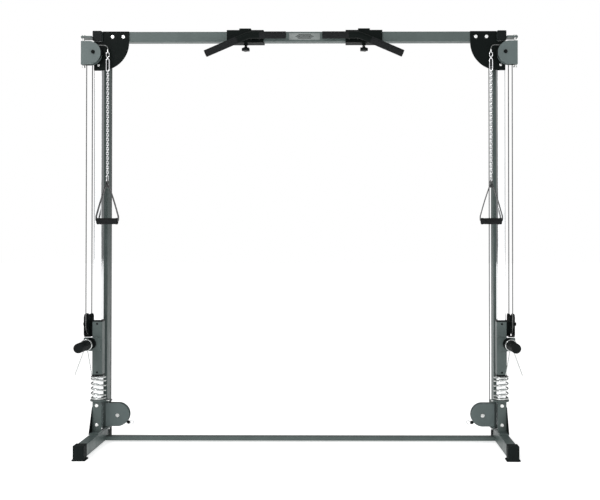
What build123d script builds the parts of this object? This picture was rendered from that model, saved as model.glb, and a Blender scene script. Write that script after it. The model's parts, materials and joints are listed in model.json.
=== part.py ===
from build123d import *
import os

os.makedirs("parts", exist_ok=True)

# Plate-loaded cable crossover with two pull-up handles on its top beam.
# Millimetres. +X right, +Y towards the back, +Z up. The origin is on the floor under the middle.
# Both towers are the same, mirrored. A tower is drawn on the right: "out" is the distance
# outward from the tower's centre line, so x = TOWER_X + out.

# ---- driving dimensions: frame ----
TOWER_X = 1019                 # tower centre line
TUBE = 50                      # square frame tube
SLIM = 46                      # width of the base tubes and the top arms
WALL = 2.5
CORNER = 4                     # outer corner radius of a tube
BASE_HALF_DEPTH = 226
BASE_BOTTOM, BASE_TOP = 8, 68
CROSSBAR_FRONT = 130           # flat bar near the floor between the bases
CROSSBAR_DEPTH, CROSSBAR_H = 40, 20
BOOT_HALF, BOOT_FOOT_HALF, BOOT_LENGTH, BOOT_WALL = 26.5, 32, 44, 4
GUIDE = 40                     # chrome guide tube, square
GUIDE_FRONT = 60
GUIDE_BACK = GUIDE_FRONT + GUIDE
GUIDE_Y = GUIDE_FRONT + GUIDE / 2
GUIDE_BOTTOM = 80
UPRIGHT_FRONT, UPRIGHT_BACK = 146, 221
ARM_BOTTOM = 2040              # the front-to-back arm that tops each tower
ARM_TOP = ARM_BOTTOM + TUBE
ARM_FRONT = 45
BEAM_BOTTOM = 2040
BEAM_TOP = BEAM_BOTTOM + TUBE
BEAM_Y = GUIDE_FRONT + TUBE / 2
PLATE = 6                      # gussets, brackets and saddles
BRACKET_HALF, BRACKET_TOE_Y = 22, 4    # lower bracket: half its width, and the front of its foot
BEAM_BOLT_OUTS, BEAM_BOLT_Z = (-75, -129), 2062
GUIDE_BOLT_OUT, GUIDE_BOLT_Z, GUIDE_BOLT_R = -4, 1919, 7
BRACKET_BOLT_ZS = (203, 106)
BOLT_R, BOLT_HEAD = 9.5, 4.4

# ---- driving dimensions: cables and pulleys ----
CABLE_R = 2.5
CABLE_GAP = 0.4                # between a pulley's groove and the cable in it
PULLEY_W = 14
AXLE_R = 6
BORE_GAP = 0.08                # running clearance of an axle in its bore
FRONT_Y = 34                   # plane of the front cable run, the high pulley and the handle
REAR_Y = 128                   # plane of the rear cable run, the top pulley and the low pulley
RUN_OUT = 50                   # both vertical runs are this far out
TOP_Z = 1979                   # axle height of the high and the top pulley
HIGH_OUT, HIGH_R = 14, 36
TOP_R = 50
LOW_OUT, LOW_Z, LOW_R = -88, 141, 38
RUN_TOP = 1914                 # the carriage's runs end here, under the high housing
ENTRY_Z = 204                  # the inner run enters the low housing here
PIECE_GAP = 0.3                # between the fixed and the swivelling length of one cable
CAR_Z = 610                    # carriage pulley's axle
CAR_Y = (FRONT_Y + REAR_Y) / 2
CAR_R = (REAR_Y - FRONT_Y) / 2
HOUSING_R = 59                 # nose radius of a swivel housing
HOUSING_GAP = 24               # between its two side plates
SHEET = 3
HIGH_HOUSING_Z = 1975
LOW_HOUSING_Z = 144.5
HIGH_PIVOT_OUT, LOW_PIVOT_OUT = 65, -36
PIVOT_PLATE_Z = 2052           # plate that carries the high pivot pin
LOW_ARM_Z, HIGH_ARM_Z = 76, 206    # the two arms that hold the low pivot pin
PIN_R = 5
KNUCKLE_R = 8

# ---- driving dimensions: carriage, weight post, handle, pull-up handles ----
SLEEVE = 50
SLEEVE_BOTTOM, SLEEVE_TOP = 358, 624
BUMPER = 8
SPRING_BOTTOM, SPRING_TOP = 229, 350
SPRING_R, SPRING_WIRE_R, SPRING_PITCH = 34, 4, 20.6
SEAT_R = 40
POST_OUT, POST_Z, POST_R = 32, 515, 24
POST_TIP, POST_STEP, POST_ROOT = -130, -24, 42
COLLAR_Y, COLLAR_WIRE_R = -20, 2.5
COLLAR_LEG = 125
COLLAR_TURNS = 3
OUTER_LEAN, INNER_LEAN = 20, 10    # degrees off the vertical, of the collar's two legs
FLANGE_R, PLATE_T = 29, 5      # weight post's flange, and the plate behind it
BRACKET_BOTTOM, BRACKET_TOP = 546, 663    # pulley bracket, just above the weight post's plate
CHEEK_GAP, CHEEK_HALF = 20, 40         # between its two plates, and half a plate's depth
HANDLE_OUT = -56
CHAIN_BOTTOM, CHAIN_TOP = 1360, 1886
HOOK_TOP = 1978
TURN_R = 18                    # bend of the cable above the ferrule
SWING_Z = 1329
GRIP_Z, GRIP_R, GRIP_L = 1130, 16.5, 104
STRAP_W, STRAP_T = 22, 3
PAIR_X = 26                    # middle of the pair of pull-up handles
SADDLE_IN, SADDLE_OUT = 207, 393
BAR_R = 17
BAR_Y, BAR_Z = 10, 2060
BAR_IN, BAR_BEND, BAR_OUT = 92, 277, 490
BAR_DROP = 92
SLIDE_GAP = 0.5                # saddle to beam
KNOB_MID = (SADDLE_IN + SADDLE_OUT) / 2
KNOB_BOTTOM, KNOB_TOP = 1998, 2012
NUT_H = 8


# ---- small builders ----
def block(out0, out1, y0, y1, z0, z1, x0=TOWER_X):
    """A box between two corners, measured outward from x0."""
    centre = Pos(x0 + (out0 + out1) / 2, (y0 + y1) / 2, (z0 + z1) / 2)
    return centre * Box(abs(out1 - out0), abs(y1 - y0), abs(z1 - z0))


def rod_x(out0, out1, y, z, r):
    return Pos(TOWER_X + (out0 + out1) / 2, y, z) * Rot(0, 90, 0) * Cylinder(r, abs(out1 - out0))


def rod_y(out, y0, y1, z, r):
    return Pos(TOWER_X + out, (y0 + y1) / 2, z) * Rot(90, 0, 0) * Cylinder(r, abs(y1 - y0))


def rod_z(out, y, z0, z1, r, x0=TOWER_X):
    return Pos(x0 + out, y, (z0 + z1) / 2) * Cylinder(r, abs(z1 - z0))


def upright_plane(out, y, z):
    """Local x is +X and local y is +Z, so a sketch here stands facing the front."""
    return Plane((TOWER_X + out, y, z), x_dir=(1, 0, 0), z_dir=(0, -1, 0))


def side_plane(out, y, z):
    """Local x is +Y and local y is +Z, so a sketch here stands facing the side."""
    return Plane((TOWER_X + out, y, z), x_dir=(0, 1, 0), z_dir=(1, 0, 0))


def hollow(solid, inner, along):
    """Round the four long corners and take the inside out."""
    return fillet(solid.edges().filter_by(along), CORNER) - inner


def pair(parts):
    """A list of separate solids for both towers."""
    return Compound(children=parts + [mirror(p, about=Plane.YZ) for p in parts])


def save(name, shape):
    export_step(shape, f"parts/{name}.step")


def save_sides(name, make):
    """Write the right tower's node and its mirror image."""
    shape = make()
    save(f"{name}_right", shape)
    save(f"{name}_left", mirror(shape, about=Plane.YZ))


def pulley(pitch_r):
    """A grooved pulley about local Z."""
    half = PULLEY_W / 2
    rim = pitch_r + 5
    bore = AXLE_R + BORE_GAP
    groove = CABLE_R + CABLE_GAP
    web = half - 3
    hub, web_out = bore + 7, pitch_r - 9
    outline = Polyline(
        (pitch_r, groove), (rim, half - 1.2), (rim, half), (web_out, half), (web_out, web), (hub, web),
        (hub, half), (bore, half), (bore, -half), (hub, -half), (hub, -web), (web_out, -web),
        (web_out, -half), (rim, -half), (rim, 1.2 - half), (pitch_r, -groove))
    bottom = ThreePointArc((pitch_r, -groove), (pitch_r - groove, 0), (pitch_r, groove))
    return revolve(Plane.XZ * make_face(outline + bottom), Axis.Z)


def bend(radius, start, arc):
    """A quarter or half turn of cable about local Z."""
    section = Plane.XZ * Pos(radius, 0) * Circle(CABLE_R)
    return Rot(0, 0, start) * revolve(section, Axis.Z, revolution_arc=arc)


def ring_link(width, height, bar, radius):
    """A flat closed link or carabiner, centred, lying in local XY."""
    outer = RectangleRounded(width, height, radius)
    inner = RectangleRounded(width - 2 * bar, height - 2 * bar, max(radius - bar, 1))
    return extrude(outer - inner, bar / 2, both=True)


# ---- frame ----
def base_tube():
    outer = block(-SLIM / 2, SLIM / 2, -BASE_HALF_DEPTH, BASE_HALF_DEPTH, BASE_BOTTOM, BASE_TOP)
    inner = block(WALL - SLIM / 2, SLIM / 2 - WALL, -BASE_HALF_DEPTH, BASE_HALF_DEPTH,
                  BASE_BOTTOM + WALL, BASE_TOP - WALL)
    return hollow(outer, inner, Axis.Y)


def boot(y_end, inward):
    """A rubber shoe over one end of the base tube, with a wider foot round its bottom."""
    y_mouth = y_end + inward * BOOT_LENGTH
    outside = y_end - inward * BOOT_WALL
    body = block(-BOOT_HALF, BOOT_HALF, outside, y_mouth, 0, BASE_TOP + BOOT_WALL)
    body = fillet(body.edges().filter_by(Axis.Z) + body.edges().filter_by(Axis.Y).group_by(Axis.Z)[-1], 3)
    foot = block(-BOOT_FOOT_HALF, BOOT_FOOT_HALF, outside, y_mouth + inward * 6, 0, 6)
    foot = fillet(foot.edges().filter_by(Axis.Z), 3)
    socket = block(-SLIM / 2, SLIM / 2, y_end, y_mouth + inward * 20, BASE_BOTTOM, BASE_TOP)
    socket = fillet(socket.edges().filter_by(Axis.Y), CORNER)
    upright_foot = block(-TUBE / 2, TUBE / 2, UPRIGHT_FRONT, UPRIGHT_BACK, BASE_TOP, BASE_TOP + 10)
    return body + foot - socket - upright_foot


def upright():
    outer = block(-TUBE / 2, TUBE / 2, UPRIGHT_FRONT, UPRIGHT_BACK, BASE_TOP, ARM_BOTTOM)
    inner = block(WALL - TUBE / 2, TUBE / 2 - WALL, UPRIGHT_FRONT + WALL, UPRIGHT_BACK - WALL,
                  BASE_TOP, ARM_BOTTOM)
    return hollow(outer, inner, Axis.Z)


def guide_tube():
    half = GUIDE / 2
    outer = block(-half, half, GUIDE_FRONT, GUIDE_BACK, GUIDE_BOTTOM, ARM_BOTTOM)
    inner = block(WALL - half, half - WALL, GUIDE_FRONT + WALL, GUIDE_BACK - WALL, GUIDE_BOTTOM, ARM_BOTTOM)
    return hollow(outer, inner, Axis.Z)


def top_arm():
    outer = block(-SLIM / 2, SLIM / 2, ARM_FRONT, UPRIGHT_BACK, ARM_BOTTOM, ARM_TOP)
    inner = block(WALL - SLIM / 2, SLIM / 2 - WALL, ARM_FRONT, UPRIGHT_BACK,
                  ARM_BOTTOM + WALL, ARM_TOP - WALL)
    return hollow(outer, inner, Axis.Y)


def arm_cap(y, outward):
    """A square plug over one end of the top arm."""
    face = block(-SLIM / 2, SLIM / 2, y, y + outward * 5, ARM_BOTTOM, ARM_TOP)
    plug = block(WALL - SLIM / 2, SLIM / 2 - WALL, y, y - outward * 20, ARM_BOTTOM + WALL, ARM_TOP - WALL)
    return fillet(face.edges().filter_by(Axis.Y), CORNER) + plug


def crossbeam():
    half = TOWER_X - SLIM / 2
    outer = block(-half, half, GUIDE_FRONT, GUIDE_FRONT + TUBE, BEAM_BOTTOM, BEAM_TOP, x0=0)
    inner = block(-half, half, GUIDE_FRONT + WALL, GUIDE_FRONT + TUBE - WALL,
                  BEAM_BOTTOM + WALL, BEAM_TOP - WALL, x0=0)
    return hollow(outer, inner, Axis.X)


def floor_crossbar():
    half = TOWER_X - SLIM / 2
    y0, y1 = CROSSBAR_FRONT, CROSSBAR_FRONT + CROSSBAR_DEPTH
    z0, z1 = BASE_BOTTOM, BASE_BOTTOM + CROSSBAR_H
    outer = block(-half, half, y0, y1, z0, z1, x0=0)
    inner = block(-half, half, y0 + WALL, y1 - WALL, z0 + WALL, z1 - WALL, x0=0)
    return fillet(outer.edges().filter_by(Axis.X), 3) - inner


def corner_gusset():
    """A flat plate on the front of the beam and the guide tube, with a round inner corner."""
    edge, far, low, mid = GUIDE / 2, -157, 1893, 2036
    lines = Polyline((-edge, low), (edge, low), (edge, ARM_BOTTOM - 2), (-SLIM / 2 - 1, ARM_BOTTOM - 2),
                     (-SLIM / 2 - 1, BEAM_TOP), (far, BEAM_TOP), (far, mid))
    arc = ThreePointArc((far, mid), (-116, 1935), (-edge, low))
    outline = make_face(lines + arc)
    return extrude(upright_plane(0, GUIDE_FRONT, 0) * outline, PLATE)


def lower_bracket():
    """Front plate, foot and the seat that the buffer spring stands on."""
    front = block(-BRACKET_HALF, BRACKET_HALF, GUIDE_FRONT - PLATE, GUIDE_FRONT, BASE_TOP, SPRING_BOTTOM - 6)
    foot = block(-BRACKET_HALF, BRACKET_HALF, BRACKET_TOE_Y, UPRIGHT_FRONT, BASE_TOP, BASE_TOP + PLATE)
    seat = rod_z(0, GUIDE_Y, SPRING_BOTTOM - 6, SPRING_BOTTOM, SEAT_R)
    seat -= block(-GUIDE / 2, GUIDE / 2, GUIDE_FRONT, GUIDE_BACK, SPRING_BOTTOM - 6, SPRING_BOTTOM)
    return front + foot + seat


def bracket_gusset():
    """A triangular plate that stiffens the outer side of the lower bracket."""
    top = 194
    side = Polyline((BRACKET_TOE_Y, BASE_TOP), (GUIDE_BACK, BASE_TOP), (GUIDE_BACK, top),
                    (GUIDE_FRONT - 2, top), close=True)
    return extrude(side_plane(BRACKET_HALF, 0, 0) * make_face(side), 4)


def dome_bolt(out, y, z, r):
    """A round-head bolt, its head standing off a front face at y."""
    head = rod_y(out, y - BOLT_HEAD, y, z, r)
    return fillet(head.edges().group_by(Axis.Y)[0], 2.5)


def pivot_bracket_high():
    arm = block(SLIM / 2, HIGH_PIVOT_OUT + 14, FRONT_Y - 12, 80, PIVOT_PLATE_Z, PIVOT_PLATE_Z + 8)
    arm = fillet(arm.edges().filter_by(Axis.Z).group_by(Axis.X)[-1], 12)
    return arm - rod_z(HIGH_PIVOT_OUT, FRONT_Y, PIVOT_PLATE_Z - 2, PIVOT_PLATE_Z + 10, PIN_R)


def pivot_bracket_low(z0):
    arm = block(-TUBE / 2, -46, REAR_Y - 12, UPRIGHT_FRONT + 30, z0, z0 + PLATE)
    arm = fillet(arm.edges().filter_by(Axis.Z).group_by(Axis.X)[0], 8)
    return arm - rod_z(LOW_PIVOT_OUT, REAR_Y, z0 - 5, z0 + 15, PIN_R)


def pivot_pin(out, y, z_head, z_nut):
    pin = rod_z(out, y, z_nut, z_head, PIN_R)
    head = rod_z(out, y, z_head, z_head + 5, 8)
    nut = Pos(TOWER_X + out, y, z_nut - 3) * extrude(RegularPolygon(8.5, 6), 4, both=True)
    return pin + head + nut


def top_pulley_fork():
    """Two plates hanging from the top arm, with the pulley's axle across them."""
    pieces = []
    for y in (REAR_Y - HOUSING_GAP / 2 - SHEET, REAR_Y + HOUSING_GAP / 2):
        plate = block(-18, 18, y, y + SHEET, TOP_Z - 18, ARM_BOTTOM)
        plate = fillet(plate.edges().filter_by(Axis.Y).group_by(Axis.Z)[0], 14)
        pieces.append(plate - rod_y(0, y - 1, y + SHEET + 1, TOP_Z, AXLE_R))
    pieces.append(rod_y(0, REAR_Y - HOUSING_GAP / 2 - SHEET, REAR_Y + HOUSING_GAP / 2 + SHEET, TOP_Z, AXLE_R))
    return pieces


def fixed_cable():
    """From the rear run over the top pulley and down the inner side to the low housing."""
    over = upright_plane(0, REAR_Y, TOP_Z).location * bend(TOP_R, 0, 180)
    rear = rod_z(TOP_R, REAR_Y, RUN_TOP, TOP_Z, CABLE_R)
    return over + rear + rod_z(-TOP_R, REAR_Y, ENTRY_Z, TOP_Z, CABLE_R)


# ---- one tower's moving pieces, drawn on the right ----
def swivel_housing(nose_out, edge_out, y, z, axle_out, axle_z, pivot_out):
    """Two D-shaped plates joined by a back web and a knuckle on the pivot, with the axle fixed in them."""
    near = HOUSING_GAP / 2
    solid = None
    tip_out = nose_out - HOUSING_R
    for y0 in (y - near - SHEET, y + near):
        flat = block(nose_out, edge_out, y0, y0 + SHEET, z - HOUSING_R, z + HOUSING_R)
        nose = rod_y(nose_out, y0, y0 + SHEET, z, HOUSING_R)
        nose &= block(tip_out, nose_out, y0, y0 + SHEET, z - HOUSING_R, z + HOUSING_R)
        solid = flat + nose if solid is None else solid + flat + nose
    web_out = edge_out - SHEET if edge_out > nose_out else edge_out
    web = block(web_out, web_out + SHEET, y - near, y + near, z - HOUSING_R, z + HOUSING_R)
    knuckle = rod_z(pivot_out, y, z - HOUSING_R, z + HOUSING_R, KNUCKLE_R)
    solid = solid + web + knuckle
    solid += rod_y(axle_out, y - near - SHEET - 3, y + near + SHEET, axle_z, AXLE_R)
    return solid - rod_z(pivot_out, y, z - 80, z + 80, PIN_R + BORE_GAP)


def high_housing():
    return swivel_housing(35, 75, FRONT_Y, HIGH_HOUSING_Z, HIGH_OUT, TOP_Z, HIGH_PIVOT_OUT)


def low_housing():
    return swivel_housing(-88, -28, REAR_Y, LOW_HOUSING_Z, LOW_OUT, LOW_Z, LOW_PIVOT_OUT)


def high_pulley():
    return upright_plane(HIGH_OUT, FRONT_Y, TOP_Z).location * pulley(HIGH_R)


def top_pulley():
    return upright_plane(0, REAR_Y, TOP_Z).location * pulley(TOP_R)


def low_pulley():
    return upright_plane(LOW_OUT, REAR_Y, LOW_Z).location * pulley(LOW_R)


def carriage_pulley():
    return side_plane(RUN_OUT, CAR_Y, CAR_Z).location * pulley(CAR_R)


def high_cable():
    """From the front run over the high pulley, past the nose and down to the handle."""
    entry = rod_z(RUN_OUT, FRONT_Y, RUN_TOP + PIECE_GAP, TOP_Z, CABLE_R)
    over = upright_plane(HIGH_OUT, FRONT_Y, TOP_Z).location * bend(HIGH_R, 0, 90)
    top = TOP_Z + HIGH_R
    across = rod_x(HANDLE_OUT + TURN_R, HIGH_OUT, FRONT_Y, top, CABLE_R)
    down = upright_plane(HANDLE_OUT + TURN_R, FRONT_Y, top - TURN_R).location * bend(TURN_R, 90, 90)
    return entry + over + across + down


def low_cable():
    """Down inside the housing, round the low pulley and out at the nose."""
    entry = rod_z(LOW_OUT + LOW_R, REAR_Y, LOW_Z, ENTRY_Z - PIECE_GAP, CABLE_R)
    under = upright_plane(LOW_OUT, REAR_Y, LOW_Z).location * bend(LOW_R, -90, 90)
    return entry + under + rod_x(LOW_OUT - 43.5, LOW_OUT, REAR_Y, LOW_Z - LOW_R, CABLE_R)


def low_cable_end():
    """Ball stop with the eye that an ankle strap or bar clips to."""
    z = LOW_Z - LOW_R
    ball = Pos(TOWER_X - 141, REAR_Y, z) * Sphere(9)
    eye = upright_plane(-159, REAR_Y, z).location * Torus(9, 2.2)
    return ball + eye


def carriage_cable():
    return side_plane(RUN_OUT, CAR_Y, CAR_Z).location * bend(CAR_R, 180, 180)


def cable_runs():
    """The two vertical runs that shorten as the carriage rises."""
    return Compound(children=[rod_z(RUN_OUT, y, CAR_Z, RUN_TOP, CABLE_R) for y in (FRONT_Y, REAR_Y)])


def carriage_sleeve():
    """A square sleeve on the guide tube, with the flat plate that carries the weight post."""
    half = SLEEVE / 2
    bore = GUIDE / 2 + 1
    outer = block(-half, half, GUIDE_Y - half, GUIDE_Y + half, SLEEVE_BOTTOM, SLEEVE_TOP)
    inner = block(-bore, bore, GUIDE_Y - bore, GUIDE_Y + bore, SLEEVE_BOTTOM, SLEEVE_TOP)
    sleeve = hollow(outer, inner, Axis.Z)
    face = GUIDE_Y - half
    plate = block(-20, 66, face - PLATE_T, face, POST_Z - 38, POST_Z + 30)
    return sleeve + fillet(plate.edges().filter_by(Axis.Y), 6)


def carriage_bumpers():
    """Plastic glides in both ends of the sleeve, the weight post's flange and its end cap."""
    pieces = []
    half = SLEEVE / 2 + 1
    for z0, z1 in ((SPRING_TOP, SLEEVE_BOTTOM), (SLEEVE_TOP, SLEEVE_TOP + BUMPER)):
        ring = block(-half, half, GUIDE_Y - half, GUIDE_Y + half, z0, z1)
        ring = fillet(ring.edges().filter_by(Axis.Z), CORNER)
        bore = GUIDE / 2 + 0.4
        pieces.append(ring - block(-bore, bore, GUIDE_Y - bore, GUIDE_Y + bore, z0, z1))
    face = GUIDE_Y - SLEEVE / 2 - PLATE_T
    pieces.append(rod_y(POST_OUT, POST_ROOT, face, POST_Z, FLANGE_R))
    cap = rod_y(POST_OUT, POST_TIP - 10, POST_TIP, POST_Z, POST_R - 0.5)
    pieces.append(fillet(cap.edges().group_by(Axis.Y)[0], 4))
    return Compound(children=pieces)


def weight_post():
    """Full size where plates go, turned down a little behind, where the collar is parked."""
    plates = rod_y(POST_OUT, POST_TIP, POST_STEP, POST_Z, POST_R)
    return plates + rod_y(POST_OUT, POST_STEP, POST_ROOT, POST_Z, POST_R - 0.5)


def pulley_bracket():
    """Two round-cornered plates beside the carriage pulley, a spacer to the sleeve and the axle bolt."""
    inner_face = RUN_OUT - CHEEK_GAP / 2
    outer_face = RUN_OUT + CHEEK_GAP / 2
    y0, y1 = CAR_Y - CHEEK_HALF, CAR_Y + CHEEK_HALF
    solid = block(SLEEVE / 2, inner_face - SHEET, 64, 104, 552, 618)
    for out in (inner_face - SHEET, outer_face):
        plate = block(out, out + SHEET, y0, y1, BRACKET_BOTTOM, BRACKET_TOP)
        solid += fillet(plate.edges().filter_by(Axis.X), 22)
    solid += block(inner_face - SHEET, outer_face + SHEET, y0 + 24, y1 - 24, BRACKET_BOTTOM, BRACKET_BOTTOM + 4)
    solid += rod_x(inner_face - SHEET, outer_face + SHEET + 6, CAR_Y, CAR_Z, AXLE_R)
    return solid


def spring_collar():
    """Sprung wire collar: close coils round the post and two squeeze legs."""
    coil_r = POST_R + 0.4 + COLLAR_WIRE_R
    solid = None
    step = 1.8 * COLLAR_WIRE_R
    for turn in range(COLLAR_TURNS):
        y = COLLAR_Y + turn * step
        ring = upright_plane(POST_OUT, y, POST_Z).location * Torus(coil_r, COLLAR_WIRE_R)
        solid = ring if solid is None else solid + ring
    for lean, y in ((-OUTER_LEAN, COLLAR_Y), (INNER_LEAN, COLLAR_Y + (COLLAR_TURNS - 1) * step)):
        leg = Pos(0, 0, -coil_r - COLLAR_LEG / 2) * Cylinder(COLLAR_WIRE_R, COLLAR_LEG)
        solid += Pos(TOWER_X + POST_OUT, y, POST_Z) * Rot(0, lean, 0) * leg
    return solid


def buffer_spring():
    height = SPRING_TOP - SPRING_BOTTOM - 2 * SPRING_WIRE_R
    path = Helix(SPRING_PITCH, height, SPRING_R)
    section = Plane(path @ 0, z_dir=path % 0) * Circle(SPRING_WIRE_R)
    return Pos(TOWER_X, GUIDE_Y, SPRING_BOTTOM + SPRING_WIRE_R) * sweep(section, path, is_frenet=True)


def handle_hooks():
    """Ferrule, long snap hook, chain and the small carabiner that the stirrup hangs in."""
    ferrule = rod_z(HANDLE_OUT, FRONT_Y, HOOK_TOP, TOP_Z + HIGH_R - TURN_R - 1, 5)
    hook_l = HOOK_TOP - CHAIN_TOP
    hook = upright_plane(HANDLE_OUT, FRONT_Y, CHAIN_TOP + hook_l / 2).location * ring_link(24, hook_l, 6, 11)
    chain = block(HANDLE_OUT - 6, HANDLE_OUT + 6, FRONT_Y - 6, FRONT_Y + 6, CHAIN_BOTTOM, CHAIN_TOP)
    low = SWING_Z - 2.5
    link = side_plane(HANDLE_OUT, FRONT_Y, (low + CHAIN_BOTTOM) / 2).location
    return Compound(children=[ferrule, hook, chain, link * ring_link(34, CHAIN_BOTTOM - low, 5, 6)])


def handle_strap():
    """Webbing stirrup: a loop round the carabiner, two legs and a run through the grip."""
    half = GRIP_L / 2 + 5
    foot = GRIP_Z - STRAP_T / 2
    peak = SWING_Z - 5
    outline = Polyline((-half, foot), (half, foot), (half, foot + 24), (5, peak), (-5, peak), (-half, foot + 24),
                       close=True)
    face = make_face(outline)
    band = face - offset(face, -STRAP_T, kind=Kind.INTERSECTION)
    band = extrude(upright_plane(HANDLE_OUT, FRONT_Y, 0) * band, STRAP_W / 2, both=True)
    eye = rod_y(HANDLE_OUT, FRONT_Y - STRAP_W / 2, FRONT_Y + STRAP_W / 2, SWING_Z, 7)
    return band + eye - rod_y(HANDLE_OUT, FRONT_Y - 20, FRONT_Y + 20, SWING_Z, 3.9)


def handle_grip():
    half = GRIP_L / 2
    outer = rod_x(HANDLE_OUT - half, HANDLE_OUT + half, FRONT_Y, GRIP_Z, GRIP_R)
    outer = fillet(outer.edges(), 2)
    return outer - rod_x(HANDLE_OUT - half, HANDLE_OUT + half, FRONT_Y, GRIP_Z, GRIP_R - 3)


# ---- pull-up handles: drawn on the right of the pair's middle ----
def pull_up_handle():
    """Sleeve on the beam, with a bent grip bar standing off its front face and a nut for the knob."""
    outside = SLIDE_GAP + PLATE
    beam_back = GUIDE_FRONT + TUBE
    saddle = block(SADDLE_IN, SADDLE_OUT, GUIDE_FRONT - outside, beam_back + outside,
                   BEAM_BOTTOM - outside, BEAM_TOP + outside, x0=0)
    tunnel = block(SADDLE_IN, SADDLE_OUT, GUIDE_FRONT - SLIDE_GAP, beam_back + SLIDE_GAP,
                   BEAM_BOTTOM - SLIDE_GAP, BEAM_TOP + SLIDE_GAP, x0=0)
    nut = rod_z(KNOB_MID, BEAM_Y, BEAM_BOTTOM - outside - NUT_H, BEAM_BOTTOM - outside, 10, x0=0)
    cap = block(KNOB_MID - 30, KNOB_MID + 30, GUIDE_FRONT - outside, beam_back, BEAM_TOP + outside - 1,
                BEAM_TOP + outside + 8, x0=0)
    solid = saddle - tunnel + nut + fillet(cap.edges().filter_by(Axis.Y), 3)
    solid -= rod_z(KNOB_MID, BEAM_Y, BEAM_BOTTOM - 30, BEAM_BOTTOM, PIN_R + BORE_GAP, x0=0)
    for out in (SADDLE_IN + 16, SADDLE_IN + 58):
        solid += block(out, out + PLATE, BAR_Y, GUIDE_FRONT - outside, BAR_Z - 16, BAR_Z + 16, x0=0)
    path = FilletPolyline((BAR_IN, BAR_Y, BAR_Z), (BAR_BEND, BAR_Y, BAR_Z), (BAR_OUT, BAR_Y, BAR_Z - BAR_DROP),
                          radius=70)
    bar = sweep(Plane(path @ 0, z_dir=path % 0) * Circle(BAR_R), path)
    return solid + bar


def clamp_knob():
    """Five-lobed knob on a threaded stem that presses on the beam."""
    stem = rod_z(KNOB_MID, BEAM_Y, KNOB_TOP, BEAM_BOTTOM - SLIDE_GAP, PIN_R, x0=0)
    head = rod_z(KNOB_MID, BEAM_Y, KNOB_BOTTOM, KNOB_TOP, 17, x0=0)
    for lobe in PolarLocations(15, 5):
        middle = Pos(KNOB_MID, BEAM_Y, (KNOB_TOP + KNOB_BOTTOM) / 2)
        head += middle * lobe * Cylinder(6, KNOB_TOP - KNOB_BOTTOM)
    return stem + head + rod_z(KNOB_MID, BEAM_Y, KNOB_TOP, KNOB_TOP + 8, 8, x0=0)


# ---- write the fixed frame ----
save("base_tubes", pair([base_tube()]))
save("base_boots", pair([boot(-BASE_HALF_DEPTH, 1), boot(BASE_HALF_DEPTH, -1)]))
save("uprights", pair([upright()]))
save("guide_tubes", pair([guide_tube()]))
save("top_arms", pair([top_arm()]))
save("arm_caps", pair([arm_cap(ARM_FRONT, -1), arm_cap(UPRIGHT_BACK, 1)]))
save("crossbeam", crossbeam())
save("floor_crossbar", floor_crossbar())
save("corner_gussets", pair([corner_gusset()]))
save("lower_brackets", pair([lower_bracket()]))
save("bracket_gussets", pair([bracket_gusset()]))
gusset_face = GUIDE_FRONT - PLATE
bolts = [dome_bolt(out, gusset_face, BEAM_BOLT_Z, BOLT_R) for out in BEAM_BOLT_OUTS]
bolts += [dome_bolt(GUIDE_BOLT_OUT, gusset_face, GUIDE_BOLT_Z, GUIDE_BOLT_R)]
bolts += [dome_bolt(0, gusset_face, z, BOLT_R) for z in BRACKET_BOLT_ZS]
save("frame_bolts", pair(bolts))
save("pivot_brackets", pair([pivot_bracket_high(), pivot_bracket_low(LOW_ARM_Z), pivot_bracket_low(HIGH_ARM_Z)]))
save("pivot_pins", pair([pivot_pin(HIGH_PIVOT_OUT, FRONT_Y, PIVOT_PLATE_Z + 8, 1908),
                         pivot_pin(LOW_PIVOT_OUT, REAR_Y, HIGH_ARM_Z + PLATE, LOW_ARM_Z - 1)]))
save("top_pulley_forks", pair(top_pulley_fork()))
save("fixed_cables", pair([fixed_cable()]))

# ---- write each tower's moving pieces ----
for name, make in {
        "high_housing": high_housing, "high_pulley": high_pulley, "high_cable": high_cable,
        "top_pulley": top_pulley, "low_housing": low_housing, "low_pulley": low_pulley,
        "low_cable": low_cable, "low_cable_end": low_cable_end, "cable_runs": cable_runs,
        "carriage_sleeve": carriage_sleeve, "carriage_bumpers": carriage_bumpers,
        "weight_post": weight_post, "pulley_bracket": pulley_bracket,
        "carriage_pulley": carriage_pulley, "carriage_cable": carriage_cable,
        "spring_collar": spring_collar, "buffer_spring": buffer_spring, "handle_hooks": handle_hooks,
        "handle_strap": handle_strap, "handle_grip": handle_grip}.items():
    save_sides(name, make)

# ---- write the pull-up handles and their knobs ----
for name, make in {"pull_up_handle": pull_up_handle, "clamp_knob": clamp_knob}.items():
    shape = make()
    save(f"{name}_right", Pos(PAIR_X, 0, 0) * shape)
    save(f"{name}_left", Pos(PAIR_X, 0, 0) * mirror(shape, about=Plane.YZ))
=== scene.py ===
import json
import math
import random

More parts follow.
